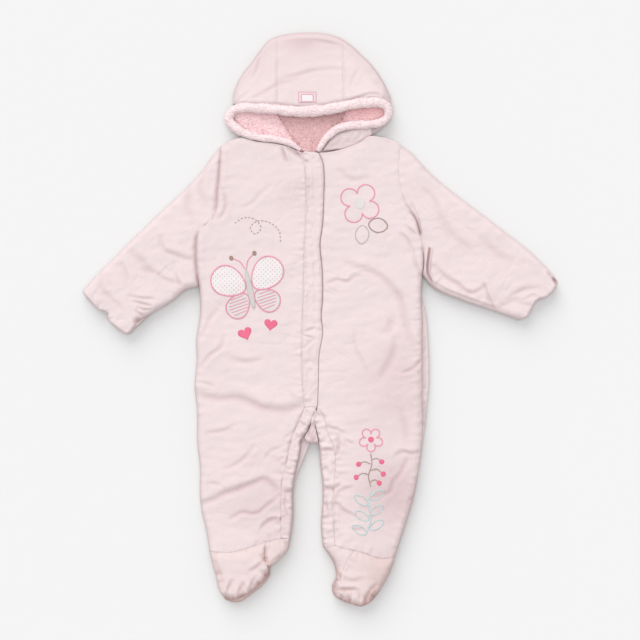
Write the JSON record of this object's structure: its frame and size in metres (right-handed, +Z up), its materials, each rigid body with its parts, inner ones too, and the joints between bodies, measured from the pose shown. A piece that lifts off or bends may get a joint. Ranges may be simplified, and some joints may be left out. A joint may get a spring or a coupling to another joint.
{
  "type": "baby snowsuit",
  "caption": "Padded one-piece suit for a newborn with a plush-lined hood, long sleeves and closed feet, laid flat on its back.",
  "frame": {"origin": "middle of the garment's box, on the flat underside of the back panel", "axes": "+X towards the wearer's left, +Y towards the hood, +Z up from the surface, out of the front"},
  "size_m": [0.581, 0.7004, 0.0278],
  "materials": {
    "shell": "matt brushed cotton, pale pink, padded",
    "plush": "short curly plush, deeper pink",
    "rim": "short curly plush, pale pink",
    "foot": "matt brushed cotton, pale pink, padded",
    "patch": "woven patch, pink border on white"
  },
  "bodies": {
    "root": {"back": "shell", "front_right": "shell", "front_left": "shell", "placket": "shell", "leg_band_right": "shell", "leg_band_left": "shell", "gusset": "shell", "sleeve_right": "shell", "sleeve_left": "shell", "hood_side_right": "shell", "hood_centre": "shell", "hood_side_left": "shell", "hood_lap_left": "shell", "lining_centre": "plush", "lining_side_right": "plush", "lining_side_left": "plush", "hood_rim": "rim", "hood_label": "patch", "vamp_right": "foot", "vamp_left": "foot", "foot_side_right": "foot", "foot_side_left": "foot", "sole_right": "foot", "sole_left": "foot"}
  },
  "joints": []
}
